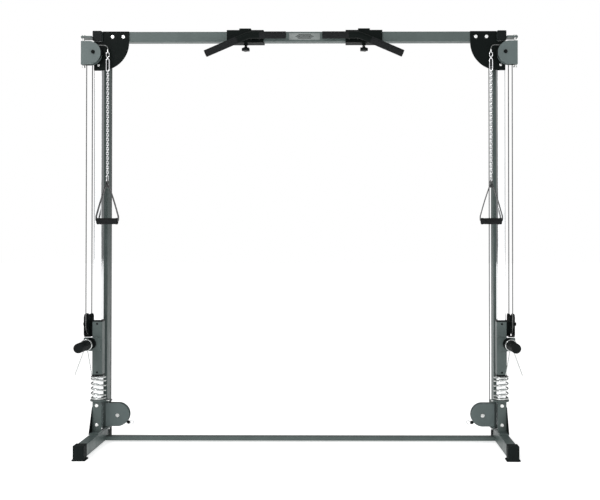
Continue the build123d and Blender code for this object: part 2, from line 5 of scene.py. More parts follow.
import bmesh
import bpy
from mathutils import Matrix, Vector


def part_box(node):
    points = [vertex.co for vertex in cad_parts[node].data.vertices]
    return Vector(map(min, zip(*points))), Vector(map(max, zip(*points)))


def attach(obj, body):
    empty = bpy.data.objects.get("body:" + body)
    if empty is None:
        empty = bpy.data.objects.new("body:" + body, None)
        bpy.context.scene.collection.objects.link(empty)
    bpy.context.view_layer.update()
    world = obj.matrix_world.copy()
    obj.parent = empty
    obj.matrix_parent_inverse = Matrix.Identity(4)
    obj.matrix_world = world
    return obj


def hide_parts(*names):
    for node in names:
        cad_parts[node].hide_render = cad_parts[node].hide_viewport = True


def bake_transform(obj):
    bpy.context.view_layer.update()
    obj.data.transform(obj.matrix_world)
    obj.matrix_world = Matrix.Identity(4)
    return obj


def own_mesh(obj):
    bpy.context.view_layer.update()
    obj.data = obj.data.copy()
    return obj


# Looks for a plate-loaded cable crossover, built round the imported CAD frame. Metres, the frame's axes.
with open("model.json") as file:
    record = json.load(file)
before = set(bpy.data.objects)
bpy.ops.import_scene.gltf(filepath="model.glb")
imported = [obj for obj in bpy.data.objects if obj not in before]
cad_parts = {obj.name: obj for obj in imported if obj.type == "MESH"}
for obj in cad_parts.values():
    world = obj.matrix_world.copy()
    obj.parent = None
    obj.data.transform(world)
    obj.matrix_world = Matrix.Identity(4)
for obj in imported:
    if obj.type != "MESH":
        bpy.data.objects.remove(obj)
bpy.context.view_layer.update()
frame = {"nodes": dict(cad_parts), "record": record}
random.seed(7)

NODES = frame["nodes"]
SIDES = {"right": 1, "left": -1}    # k, the sign of X on that side
MM = 0.001


def middle(node):
    low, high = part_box(node)
    return (low + high) / 2


TOWER_X = middle("buffer_spring_right").x
GUIDE_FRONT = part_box("crossbeam")[0].y
HIGH_Z = middle("high_pulley_right").z
FRONT_Y = middle("high_pulley_right").y
REAR_Y = middle("low_pulley_right").y
CABLE_R = 2.5 * MM
NOSE = 43 * MM             # from the low pulley's axle to where its housing lets the cable out
LINE_TURN_R = 18 * MM      # the bend over which the high cable drops to the handle


# ---- camera: straight on, a little right of the middle ----
def make_camera():
    data = bpy.data.cameras.new("camera")
    data.lens = 48.66
    data.sensor_width = 36
    data.shift_x = -0.0684
    data.shift_y = -0.0335
    data.clip_end = 100
    camera = bpy.data.objects.new("camera", data)
    bpy.context.scene.collection.objects.link(camera)
    camera.location = (0.2325, GUIDE_FRONT - 4.09, 1.043)
    camera.rotation_euler = (math.radians(90.61), 0, math.radians(0.31))
    bpy.context.scene.camera = camera


# ---- materials ----
class Nodes:
    """A material's node tree with short calls to add and join nodes."""

    def __init__(self, name):
        self.material = bpy.data.materials.new(name)
        self.material.use_nodes = True
        self.tree = self.material.node_tree
        self.shader = self.tree.nodes["Principled BSDF"]

    def add(self, kind, **values):
        node = self.tree.nodes.new(kind)
        for key, value in values.items():
            if key in node.inputs:
                node.inputs[key].default_value = value
            else:
                setattr(node, key, value)
        return node

    def join(self, a, out, b, into):
        self.tree.links.new(a.outputs[out], b.inputs[into])

    def set(self, **values):
        for key, value in values.items():
            self.shader.inputs[key.replace("_", " ")].default_value = value

    def place(self, scale):
        """Object coordinates, stretched by scale; a node's object sits at the origin, so these are metres."""
        where = self.add("ShaderNodeTexCoord")
        stretch = self.add("ShaderNodeMapping")
        stretch.inputs["Scale"].default_value = scale
        self.join(where, "Object", stretch, "Vector")
        return stretch

    def noise(self, scale, detail=4.0, stretch=(1, 1, 1)):
        noise = self.add("ShaderNodeTexNoise", Scale=scale, Detail=detail)
        self.join(self.place(stretch), "Vector", noise, "Vector")
        return noise

    def ramp(self, source, out, stops):
        ramp = self.add("ShaderNodeValToRGB")
        elements = ramp.color_ramp.elements
        for element, (at, colour) in zip(elements, stops):
            element.position = at
            element.color = (*colour, 1)
        self.join(source, out, ramp, "Fac")
        return ramp

    def colour(self, source, out, dark, light, at=(0.35, 0.65)):
        ramp = self.ramp(source, out, ((at[0], dark), (at[1], light)))
        self.join(ramp, "Color", self.shader, "Base Color")

    def rough(self, source, out, low, high):
        spread = self.add("ShaderNodeMapRange")
        spread.inputs["From Min"].default_value = 0.3
        spread.inputs["From Max"].default_value = 0.7
        spread.inputs["To Min"].default_value = low
        spread.inputs["To Max"].default_value = high
        self.join(source, out, spread, "Value")
        self.join(spread, "Result", self.shader, "Roughness")

    def bump(self, layers, edge=0.0):
        """Several height sources on top of each other, each (source, output, strength, distance)."""
        last = None
        if edge:
            last = self.add("ShaderNodeBevel", samples=4, Radius=edge)
        for source, out, strength, distance in layers:
            bump = self.add("ShaderNodeBump", Strength=strength, Distance=distance)
            self.join(source, out, bump, "Height")
            if last is not None:
                self.join(last, "Normal", bump, "Normal")
            last = bump
        self.join(last, "Normal", self.shader, "Normal")


def tint(colour, factor):
    return tuple(c * factor for c in colour)


def paint(name, colour, low, high, shine=0.3, edge=1.2 * MM):
    """Powder coat: orange peel, faint colour drift and uneven gloss."""
    m = Nodes(name)
    m.set(Specular_IOR_Level=shine)
    peel = m.noise(900, 2)
    drift = m.noise(9, 5)
    scuffs = m.noise(60, 6, (1, 1, 0.15))
    m.colour(drift, "Fac", tint(colour, 0.93), tint(colour, 1.06))
    m.rough(scuffs, "Fac", low, high)
    m.bump([(peel, "Fac", 0.25, 0.3 * MM), (drift, "Fac", 0.08, 1 * MM)], edge)
    return m.material


def chrome(name, colour, low, high, grain, edge=0.8 * MM):
    """Bright plating: polish lines, soft smudges."""
    m = Nodes(name)
    lines = m.noise(500, 2, grain)
    smudge = m.noise(14, 5)
    m.set(Metallic=1.0)
    m.colour(smudge, "Fac", tint(colour, 0.95), colour)
    m.rough(smudge, "Fac", low, high)
    m.bump([(lines, "Fac", 0.02, 0.2 * MM)], edge)
    return m.material


def moulded(name, colour, low, high, grain=1400, depth=0.4 * MM, edge=0.8 * MM):
    """Moulded plastic or rubber: fine leathery grain."""
    m = Nodes(name)
    m.set(Specular_IOR_Level=0.1)
    skin = m.add("ShaderNodeTexVoronoi", Scale=grain)
    m.join(m.place((1, 1, 1)), "Vector", skin, "Vector")
    drift = m.noise(25, 4)
    m.colour(drift, "Fac", tint(colour, 0.8), tint(colour, 1.2))
    m.rough(drift, "Fac", low, high)
    m.bump([(skin, "Distance", 0.3, depth)], edge)
    return m.material


def foam(name):
    """Dense closed-cell foam: pitted skin, almost no gloss."""
    m = Nodes(name)
    cells = m.add("ShaderNodeTexVoronoi", Scale=900)
    m.join(m.place((1, 1, 1)), "Vector", cells, "Vector")
    lumps = m.noise(180, 5)
    m.colour(lumps, "Fac", (0.007, 0.008, 0.008), (0.016, 0.017, 0.018))
    m.set(Specular_IOR_Level=0.12)
    m.rough(lumps, "Fac", 0.75, 0.95)
    m.bump([(lumps, "Fac", 0.5, 0.6 * MM), (cells, "Distance", 0.6, 0.4 * MM)])
    return m.material


def cable(name):
    """Wire strands under a thin clear coating. U runs round the cable and V along it in metres."""
    m = Nodes(name)
    m.set(Metallic=0.35, Coat_Weight=0.7, Coat_Roughness=0.15)
    where = m.add("ShaderNodeUVMap")
    twist = m.add("ShaderNodeMapping")
    twist.inputs["Scale"].default_value = (1, 55, 1)
    m.join(where, "UV", twist, "Vector")
    split = m.add("ShaderNodeSeparateXYZ")
    m.join(twist, "Vector", split, "Vector")
    both = m.add("ShaderNodeMath", operation="ADD")
    m.join(split, "X", both, 0)
    m.join(split, "Y", both, 1)
    turns = m.add("ShaderNodeMath", operation="MULTIPLY")
    turns.inputs[1].default_value = 6 * 2 * math.pi
    m.join(both, "Value", turns, 0)
    strand = m.add("ShaderNodeMath", operation="SINE")
    m.join(turns, "Value", strand, 0)
    m.colour(strand, "Value", (0.035, 0.037, 0.037), (0.2, 0.205, 0.2), (0.0, 0.8))
    m.rough(m.noise(40, 3), "Fac", 0.3, 0.45)
    m.bump([(strand, "Value", 0.5, 0.3 * MM)])
    return m.material


def webbing(name):
    """Plain-woven nylon. U runs across the band and V along it, both in metres."""
    m = Nodes(name)
    m.set(Sheen_Weight=0.35, Sheen_Roughness=0.5)
    where = m.add("ShaderNodeUVMap")
    split = m.add("ShaderNodeSeparateXYZ")
    m.join(where, "UV", split, "Vector")
    waves = []
    for axis, period in (("X", 1.5 * MM), ("Y", 2.2 * MM)):
        turn = m.add("ShaderNodeMath", operation="MULTIPLY")
        turn.inputs[1].default_value = 2 * math.pi / period
        m.join(split, axis, turn, 0)
        wave = m.add("ShaderNodeMath", operation="SINE")
        m.join(turn, "Value", wave, 0)
        waves.append(wave)
    weave = m.add("ShaderNodeMath", operation="MULTIPLY")
    m.join(waves[0], "Value", weave, 0)
    m.join(waves[1], "Value", weave, 1)
    m.colour(weave, "Value", (0.012, 0.013, 0.014), (0.045, 0.047, 0.05), (0.0, 0.7))
    m.rough(m.noise(80, 3), "Fac", 0.65, 0.85)
    m.bump([(weave, "Value", 0.8, 0.4 * MM)])
    return m.material


def plain_floor(name):
    m = Nodes(name)
    m.set(Roughness=0.8, Specular_IOR_Level=0.0, Emission_Color=(1, 1, 1, 1), Emission_Strength=0.62)
    m.colour(m.noise(2, 3), "Fac", (0.86, 0.86, 0.86), (0.9, 0.9, 0.9))
    return m.material


MATERIALS = {
    "frame_grey": paint("frame_grey", (0.072, 0.094, 0.090), 0.32, 0.48),
    "housing_grey": paint("housing_grey", (0.088, 0.113, 0.111), 0.3, 0.45),
    "black_paint": paint("black_paint", (0.004, 0.006, 0.0055), 0.42, 0.55, 0.05),
    "black_plastic": moulded("black_plastic", (0.005, 0.007, 0.007), 0.4, 0.55),
    "black_rubber": moulded("black_rubber", (0.006, 0.009, 0.009), 0.55, 0.75, 700, 0.8 * MM),
    "chrome": chrome("chrome", (0.86, 0.87, 0.88), 0.07, 0.16, (1, 1, 0.02)),
    "spring_wire": chrome("spring_wire", (0.62, 0.64, 0.63), 0.12, 0.22, (1, 1, 1)),
    "bolt_steel": chrome("bolt_steel", (0.72, 0.73, 0.72), 0.18, 0.3, (1, 1, 1)),
    "badge_grey": paint("badge_grey", (0.20, 0.22, 0.215), 0.3, 0.4),
    "cable": cable("cable"),
    "webbing": webbing("webbing"),
    "grip_foam": foam("grip_foam"),
}


# ---- mesh builders ----
def new_piece(name, shape, slot, body):
    """An object from (vertices, faces[, uvs]) that rides on a body; a piece given no body stays where it is
    built.
    """
    vertices, faces = shape[0], shape[1]
    mesh = bpy.data.meshes.new(name)
    mesh.from_pydata([tuple(v) for v in vertices], [], faces)
    if len(shape) > 2:
        layer = mesh.uv_layers.new(name="UVMap")
        for loop in mesh.loops:
            layer.data[loop.index].uv = shape[2][loop.index]
    mesh.validate()
    mesh.update()
    mesh.shade_smooth()
    mesh.set_sharp_from_angle(angle=math.radians(38))
    piece = bpy.data.objects.new(name, mesh)
    bpy.context.scene.collection.objects.link(piece)
    mesh.materials.append(MATERIALS[slot])
    if body:
        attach(piece, body)
    return piece


def frames_along(points, closed):
    """A pair of directions square to the path at each point, carried along without twisting."""
    count = len(points)
    tangents = []
    for i in range(count):
        before = points[(i - 1) % count] if closed or i else points[i]
        after = points[(i + 1) % count] if closed or i < count - 1 else points[i]
        tangents.append((after - before).normalized())
    side = tangents[0].orthogonal().normalized()
    result = []
    for i, tangent in enumerate(tangents):
        if i:
            side = tangents[i - 1].rotation_difference(tangent) @ side
        side = (side - tangent * side.dot(tangent)).normalized()
        result.append((side, tangent.cross(side)))
    return result


def tube(points, radius, sides=14, closed=False):
    """Vertices, faces and loop UVs of a round tube along points; radius is a number or one per point."""
    points = [Vector(p) for p in points]
    radii = radius if hasattr(radius, "__len__") else [radius] * len(points)
    vertices, along = [], [0.0]
    for i, ((a, b), p, r) in enumerate(zip(frames_along(points, closed), points, radii)):
        if i:
            along.append(along[-1] + (p - points[i - 1]).length)
        for s in range(sides):
            turn = 2 * math.pi * s / sides
            vertices.append(p + (a * math.cos(turn) + b * math.sin(turn)) * r)
    faces, uvs = [], []
    count = len(points)
    for i in range(count if closed else count - 1):
        j = (i + 1) % count
        v0, v1 = along[i], along[i + 1] if i + 1 < count else along[i] + (points[0] - points[-1]).length
        for s in range(sides):
            t = (s + 1) % sides
            faces.append((i * sides + s, i * sides + t, j * sides + t, j * sides + s))
            u0, u1 = s / sides, (s + 1) / sides
            uvs += [(u0, v0), (u1, v0), (u1, v1), (u0, v1)]
    if not closed:
        for ring, ends in ((0, range(sides - 1, -1, -1)), (count - 1, range(sides))):
            faces.append(tuple(ring * sides + s for s in ends))
            uvs += [(0, 0)] * sides
    return vertices, faces, uvs


def lathe(profile, centre, axis, sides=36):
    """A turned shape: profile is (radius, height) pairs, with a flat cap at each end."""
    axis = Vector(axis).normalized()
    a = axis.orthogonal().normalized()
    b = axis.cross(a)
    centre = Vector(centre)
    vertices = []
    for r, h in profile:
        for s in range(sides):
            turn = 2 * math.pi * s / sides
            vertices.append(centre + axis * h + (a * math.cos(turn) + b * math.sin(turn)) * r)
    faces = []
    for i in range(len(profile) - 1):
        for s in range(sides):
            t = (s + 1) % sides
            faces.append((i * sides + s, i * sides + t, (i + 1) * sides + t, (i + 1) * sides + s))
    faces.append(tuple(range(sides - 1, -1, -1)))
    last = (len(profile) - 1) * sides
    faces.append(tuple(last + s for s in range(sides)))
    return vertices, faces


def joined(parts):
    """Several (vertices, faces[, uvs]) lists as one."""
    vertices, faces, uvs = [], [], []
    for part in parts:
        base = len(vertices)
        vertices += part[0]
        faces += [tuple(i + base for i in f) for f in part[1]]
        uvs += part[2] if len(part) > 2 else [(0, 0)] * sum(len(f) for f in part[1])
    return vertices, faces, uvs


def rounded_bar(low, high, edge):
    """A box whose twelve edges are rounded off."""
    low, high = Vector(low), Vector(high)
    mesh = bpy.data.meshes.new("scratch")
    corners = [(x, y, z) for z in (low.z, high.z) for y in (low.y, high.y) for x in (low.x, high.x)]
    mesh.from_pydata(corners, [], [(0, 2, 3, 1), (4, 5, 7, 6), (0, 1, 5, 4), (2, 6, 7, 3), (0, 4, 6, 2),
                                   (1, 3, 7, 5)])
    shape = bmesh.new()
    shape.from_mesh(mesh)
    bmesh.ops.bevel(shape, geom=shape.edges[:], offset=edge, segments=3, profile=0.5, affect="EDGES")
    shape.to_mesh(mesh)
    shape.free()
    vertices = [v.co.copy() for v in mesh.vertices]
    faces = [tuple(p.vertices) for p in mesh.polygons]
    bpy.data.meshes.remove(mesh)
    return vertices, faces


def arc(centre, radius, start, end, steps, right, up):
    """Points on a circle in the plane of right and up, from one angle to another in degrees."""
    result = []
    for i in range(steps + 1):
        turn = math.radians(start + (end - start) * i / steps)
        result.append(Vector(centre) + right * radius * math.cos(turn) + up * radius * math.sin(turn))
    return result


def straight(a, b, steps):
    return [Vector(a).lerp(Vector(b), i / steps) for i in range(steps + 1)]


UP = Vector((0, 0, 1))
BACK = Vector((0, 1, 0))


def link_path(centre, length, width, across, along, steps=8):
    """The middle line of an oblong chain link."""
    half = (length - width) / 2
    top = arc(Vector(centre) + along * half, width / 2, 0, 180, steps, across, along)
    bottom = arc(Vector(centre) - along * half, width / 2, 180, 360, steps, across, along)
    return top + bottom


# ---- cables ----
def cables(side, k):
    out = Vector((k, 0, 0))
    high, top = middle(f"high_pulley_{side}"), middle(f"top_pulley_{side}")
    low, car = middle(f"low_pulley_{side}"), middle(f"carriage_pulley_{side}")
    run_x = middle(f"cable_runs_{side}").x
    high_r, top_r = abs(run_x - high.x), abs(run_x - top.x)
    inner_x = top.x - k * top_r
    low_r = abs(inner_x - low.x)
    line_x = middle(f"handle_hooks_{side}").x

    corner = Vector((line_x + k * LINE_TURN_R, high.y, high.z + high_r - LINE_TURN_R))
    run_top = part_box(f"cable_runs_{side}")[1].z
    path = straight((run_x, high.y, run_top), (run_x, high.y, high.z), 6)
    path += arc(high, high_r, 0, 90, 16, out, UP)[1:]
    path += straight(path[-1], corner + UP * LINE_TURN_R, 4)[1:]
    path += arc(corner, LINE_TURN_R, 90, 180, 10, out, UP)[1:]
    piece = new_piece(f"high_cable_lay_{side}", tube(path, CABLE_R), "cable", f"high_swivel_{side}")
    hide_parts(f"high_cable_{side}")

    entry_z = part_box(f"low_cable_{side}")[1].z
    path = straight((run_x, top.y, run_top), (run_x, top.y, top.z), 6)
    path += arc(top, top_r, 0, 180, 30, out, UP)[1:]
    path += straight(path[-1], (inner_x, top.y, entry_z), 60)[1:]
    made = tube(path, CABLE_R)
    new_piece(f"fixed_cable_lay_{side}", made, "cable", "frame")

    path = straight((inner_x, low.y, entry_z), (inner_x, low.y, low.z), 6)
    path += arc(low, low_r, 0, -90, 14, out, UP)[1:]
    path += straight(path[-1], (low.x - k * (NOSE + 0.5 * MM), low.y, low.z - low_r), 4)[1:]
    made = tube(path, CABLE_R)
    piece = new_piece(f"low_cable_lay_{side}", made, "cable", f"low_swivel_{side}")
    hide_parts(f"low_cable_{side}")

    low_box, high_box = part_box(f"carriage_cable_{side}")
    radius = (high_box.y - low_box.y) / 2 - CABLE_R
    made = tube(arc(car, radius, 180, 360, 26, BACK, UP), CABLE_R)
    piece = new_piece(f"carriage_cable_lay_{side}", made, "cable", f"carriage_{side}")
    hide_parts(f"carriage_cable_{side}")

    low_box, high_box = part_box(f"cable_runs_{side}")
    made = joined([tube(straight((run_x, y, low_box.z), (run_x, y, high_box.z), 60), CABLE_R)
                   for y in (low_box.y + CABLE_R, high_box.y - CABLE_R)])
    piece = new_piece(f"vertical_cables_{side}", made, "cable", "frame")
    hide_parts(f"cable_runs_{side}")
    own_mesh(piece)

    hooks_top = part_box(f"handle_hooks_{side}")[1].z
    start = Vector((line_x, high.y, hooks_top + 2 * MM))
    end = start - UP * 14 * MM
    made = tube(straight(start, end, 60), CABLE_R)
    piece = new_piece(f"handle_line_cable_{side}", made, "cable", None)
    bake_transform(piece)

    near = low.x - k * NOSE
    start = Vector((near, low.y, low.z - low_r))
    end = start - out * 8 * MM
    made = tube(straight(start, end, 60), CABLE_R)
    piece = new_piece(f"low_line_cable_{side}", made, "cable", None)
    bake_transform(piece)
    low_line_end(side, out, Vector((0, low.y, low.z - low_r)))


def low_line_end(side, out, line):
    """Black ball stop, a short shank and the round eye that an attachment clips to."""
    low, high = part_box(f"low_cable_end_{side}")
    inner, outer = (low.x, high.x) if out.x > 0 else (high.x, low.x)
    ball_r = 9 * MM
    ball = Vector((outer, line.y, line.z)) - out * ball_r
    shank_r = 1.2 * MM
    profile = [(max(ball_r * math.cos(a), shank_r), ball_r * math.sin(a))
               for a in (math.radians(d) for d in range(-90, 91, 10))]
    stop = new_piece(f"line_stop_{side}", lathe(profile, ball, out, 28), "black_plastic", f"low_line_{side}")
    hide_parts(f"low_cable_end_{side}")
    eye_r, wire = 9 * MM, 2.2 * MM
    eye = Vector((inner, line.y, line.z)) + out * (eye_r + wire)
    parts = [tube(arc(eye, eye_r, 0, 350, 35, out, UP), wire, 12, True),
             tube(straight(eye + out * eye_r, ball - out * (ball_r - 1 * MM), 4), 2.6 * MM, 12)]
    new_piece(f"line_eye_{side}", joined(parts), "chrome", f"low_line_{side}")


# ---- hanging handle ----
def chain_and_hooks(side):
    low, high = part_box(f"handle_hooks_{side}")
    x, y = (low.x + high.x) / 2, (low.y + high.y) / 2
    body = f"handle_line_{side}"
    across, depth = Vector((1, 0, 0)), BACK
    hook_top, hook_low = high.z - 18 * MM, high.z - 110 * MM
    chain_low = low.z + 33.5 * MM

    profile = [(3.4 * MM, 0), (5 * MM, 1.5 * MM), (5 * MM, 14 * MM), (4 * MM, 17 * MM), (3 * MM, 18 * MM)]
    ferrule = lathe(profile, (x, y, hook_top - 1 * MM), UP, 20)
    new_piece(f"cable_ferrule_{side}", ferrule, "bolt_steel", body)

    # the long snap hook: swivel eye above, then a narrow gated loop
    parts = [tube(link_path((x, y, hook_top - 11 * MM), 24 * MM, 15 * MM, across, UP), 2.2 * MM, 12, True)]
    parts.append(lathe([(4 * MM, 0), (6 * MM, 2 * MM), (6 * MM, 8 * MM), (4 * MM, 10 * MM)],
                       (x, y, hook_top - 33 * MM), UP, 20))
    loop_top = hook_top - 31 * MM
    loop_mid = (loop_top + hook_low) / 2
    loop_len = loop_top - hook_low
    parts.append(tube(link_path((x, y, loop_mid), loop_len, 15 * MM, across, UP, 12), 2.8 * MM, 12, True))
    gate = straight((x + 7.5 * MM, y, loop_mid + 20 * MM), (x + 7.5 * MM, y, loop_mid - 18 * MM), 6)
    parts.append(tube(gate, 3.6 * MM, 12))
    made = joined(parts)
    new_piece(f"snap_hook_{side}", made, "chrome", body)

    # welded-link chain: every second link is turned a quarter
    wire, pitch = 1.9 * MM, 11.6 * MM
    count = round((hook_low - chain_low) / pitch)
    pitch = (hook_low - chain_low) / count
    parts = []
    for i in range(count):
        z = hook_low - pitch * (i + 0.5)
        turned = across if i % 2 else depth
        lean = turned * 0.25 * MM * math.sin(i * 2.1)
        parts.append(tube(link_path(Vector((x, y, z)) + lean, pitch + 2.9 * wire, 9.4 * MM, turned, UP, 6),
                          wire, 8, True))
    made = joined(parts)
    chain = new_piece(f"handle_chain_{side}", made, "chrome", body)

    # small carabiner, square to the handle, that the webbing's eye hangs in
    centre = Vector((x, y, (low.z + 2.5 * MM + chain_low) / 2))
    half_h = (chain_low - low.z - 5 * MM) / 2
    half_w, turn_r = 14.5 * MM, 7 * MM
    ring = []
    for sy, sz, start in ((1, 1, 0), (-1, 1, 90), (-1, -1, 180), (1, -1, 270)):
        corner = centre + depth * sy * (half_w - turn_r) + UP * sz * (half_h - turn_r)
        ring += arc(corner, turn_r, start, start + 90, 6, depth, UP)
    parts = [tube(ring, 2.4 * MM, 12, True)]
    gate_mid, gate_half = centre + depth * half_w, UP * 8 * MM
    parts.append(tube(straight(gate_mid + gate_half, gate_mid - gate_half, 4), 3.1 * MM, 12))
    made = joined(parts)
    new_piece(f"carabiner_{side}", made, "chrome", body)
    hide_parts(f"handle_hooks_{side}")


def band(path, width, thick, edge_round=0.35):
    """A flat strap along a path in an upright plane; the width runs front to back."""
    path = [Vector(p) for p in path]
    vertices, faces, uvs = [], [], []
    half, half_t = width / 2, thick / 2
    cut = half_t * edge_round
    section = [(-half, 0), (-half + cut, half_t), (half - cut, half_t),
               (half, 0), (half - cut, -half_t), (-half + cut, -half_t)]
    count, sides = len(path), len(section)
    run = 0.0
    runs = []
    for i, p in enumerate(path):
        before, after = path[max(i - 1, 0)], path[min(i + 1, count - 1)]
        tangent = (after - before).normalized()
        normal = tangent.cross(BACK).normalized()
        run += (p - path[i - 1]).length if i else 0
        runs.append(run)
        for w, t in section:
            vertices.append(p + BACK * w + normal * t)
    for i in range(count - 1):
        for s in range(sides):
            t = (s + 1) % sides
            faces.append((i * sides + s, i * sides + t, (i + 1) * sides + t, (i + 1) * sides + s))
            uvs += [(section[s][0], runs[i]), (section[t][0], runs[i]), (section[t][0], runs[i + 1]),
                    (section[s][0], runs[i + 1])]
    faces.append(tuple(range(sides - 1, -1, -1)))
    faces.append(tuple((count - 1) * sides + s for s in range(sides)))
    uvs += [(0, 0)] * (2 * sides)
    return vertices, faces, uvs


def stirrup(side):
    low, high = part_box(f"handle_strap_{side}")
    x, y = (low.x + high.x) / 2, (low.y + high.y) / 2
    half = (high.x - low.x) / 2 - 1.5 * MM
    foot, eye_z = low.z + 1.5 * MM, high.z - 7 * MM
    width, thick = high.y - low.y, 2.6 * MM
    across = Vector((1, 0, 0))
    eye_r, corner_r = 5.4 * MM, 7 * MM

    # one webbing loop: up one leg, round the eye, down the other leg and back through the grip
    path = []
    path += straight((x, y, foot), (x + half - corner_r, y, foot), 8)
    path += arc((x + half - corner_r, y, foot + corner_r), corner_r, -90, 0, 6, across, UP)[1:]
    shoulder = Vector((x + half, y, foot + 24 * MM))
    neck = Vector((x + eye_r * 0.8, y, eye_z - 12 * MM))
    path += straight(path[-1], shoulder, 3)[1:]
    bow_steps = 14
    bow = straight(shoulder, neck, bow_steps)[1:]
    for i, p in enumerate(bow):
        p += across * 2.2 * MM * math.sin(math.pi * (i + 1) / bow_steps)
    path += bow
    first_leg = list(path)
    path += arc((x, y, eye_z), eye_r, -25, 205, 16, across, UP)
    path += [Vector((2 * x - p.x, p.y, p.z)) for p in reversed(first_leg)]
    made = band(path, width, thick)
    strap = new_piece(f"webbing_stirrup_{side}", made, "webbing", f"stirrup_{side}")
    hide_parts(f"handle_strap_{side}")

    # sewn bar tacks where the two legs meet under the eye
    stitches = []
    for row in range(5):
        z = eye_z - 16 * MM - row * 3 * MM
        spread = 5.5 * MM + row * 0.7 * MM
        for step in range(6):
            yy = y - width * 0.4 + width * 0.16 * step
            for s in (1, -1):
                a = Vector((x + s * (spread + 1.0 * MM), yy, z))
                stitches.append(tube(straight(a, a + BACK * width * 0.11, 2), 0.35 * MM, 6))
    tack = rounded_bar((x - 5.4 * MM, y - width * 0.46, eye_z - 31 * MM),
                       (x + 5.4 * MM, y + width * 0.46, eye_z - 14 * MM), 1.5 * MM)
    new_piece(f"strap_tack_{side}", tack, "webbing", f"stirrup_{side}")
    made = joined(stitches)
    new_piece(f"strap_stitches_{side}", made, "black_plastic", f"stirrup_{side}")


def grip(side):
    low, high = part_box(f"handle_grip_{side}")
    centre = (low + high) / 2
    half, r = (high.x - low.x) / 2, (high.z - low.z) / 2
    bore = r - 3 * MM
    profile = [(bore, -half), (r - 2.5 * MM, -half), (r - 0.6 * MM, -half + 1.2 * MM), (r, -half + 4 * MM),
               (r, -half + 9 * MM), (r - 1.2 * MM, -half + 12 * MM)]
    steps = 16
    for i in range(steps + 1):
        t = i / steps
        h = -half + 14 * MM + t * (2 * half - 28 * MM)
        swell = 0.7 * MM * math.sin(math.pi * t)
        profile.append((r - 1.3 * MM + swell - (0.35 * MM if i % 2 else 0), h))
    profile += [(r0, -h) for r0, h in reversed(profile[:6])]
    inner = [(bore, h) for h in (half, -half)]
    made = lathe(profile + inner, centre, (1, 0, 0), 40)
    piece = new_piece(f"foam_grip_{side}", (made[0], made[1][:-2]), "grip_foam", f"grip_{side}")
    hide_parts(f"handle_grip_{side}")


# ---- springs ----
def buffer_spring(side, k):
    """A wire spring with closed end turns."""
    low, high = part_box(f"buffer_spring_{side}")
    centre = (low + high) / 2
    wire = 4 * MM
    r = (high.x - low.x) / 2 - wire
    height = high.z - low.z - 2 * wire
    turns, steps = 6.2, 40
    closed = 1 / turns
    end_rise = 0.275 * closed
    points = []
    total = int(turns * steps)
    for i in range(total + 1):
        t = i / total
        if t < closed:
            rise = end_rise * t / closed
        elif t > 1 - closed:
            rise = 1 - end_rise * (1 - t) / closed
        else:
            rise = end_rise + (1 - 2 * end_rise) * (t - closed) / (1 - 2 * closed)
        angle = 2 * math.pi * turns * t
        points.append((centre.x + r * math.cos(angle) * k, centre.y + r * math.sin(angle),
                       low.z + wire + height * rise))
    piece = new_piece(f"coil_spring_{side}", tube(points, wire, 14), "spring_wire", f"buffer_{side}")
    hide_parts(f"buffer_spring_{side}")
    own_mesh(piece)


def spring_collar(side, k):
    """Three close turns round the post, ending in the two squeeze legs."""
    low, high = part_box(f"spring_collar_{side}")
    wire = 2.5 * MM
    post = middle(f"weight_post_{side}")
    r = 27 * MM
    turns, steps = 3, 40
    y0, y1 = low.y + wire, high.y - wire
    outward, inward = math.radians(20), math.radians(10)    # each leg's lean off the vertical
    start, span = math.radians(-90) + outward, 2 * math.pi * turns + outward + inward
    points = []
    total = turns * steps
    for i in range(total + 1):
        t = i / total
        turn = start - span * t
        across, rise = r * math.cos(turn), r * math.sin(turn)
        points.append(Vector((post.x + k * across, y0 + (y1 - y0) * t, post.z + rise)))
    foot_z = low.z + wire
    first, last = points[0], points[-1]
    outer = first + Vector((k * math.tan(outward), 0, -1)) * (first.z - foot_z)
    inner = last + Vector((-k * math.tan(inward), 0, -1)) * (last.z - foot_z)
    path = straight(outer, first, 10)[:-1] + points + straight(last, inner, 10)[1:]
    piece = new_piece(f"collar_wire_{side}", tube(path, wire, 12), "spring_wire", f"collar_{side}")
    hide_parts(f"spring_collar_{side}")


# ---- fasteners and fittings ----
def hex_head(centre, axis, across_flats, height):
    """A hex head or nut with a chamfered crown."""
    r = across_flats / math.sqrt(3)
    return lathe([(r, 0), (r, height * 0.8), (r * 0.86, height)], centre, axis, 6)


def bolt(centre, axis, across_flats=16 * MM, height=7 * MM, washer=True):
    axis = Vector(axis)
    centre = Vector(centre)
    parts = []
    if washer:
        r = across_flats * 0.75
        parts.append(lathe([(r - 0.4 * MM, 0), (r, 0.4 * MM), (r, 1.4 * MM), (r - 0.4 * MM, 1.8 * MM)],
                           centre, axis, 32))
        centre = centre + axis * 1.8 * MM
    parts.append(hex_head(centre, axis, across_flats, height))
    return joined(parts)


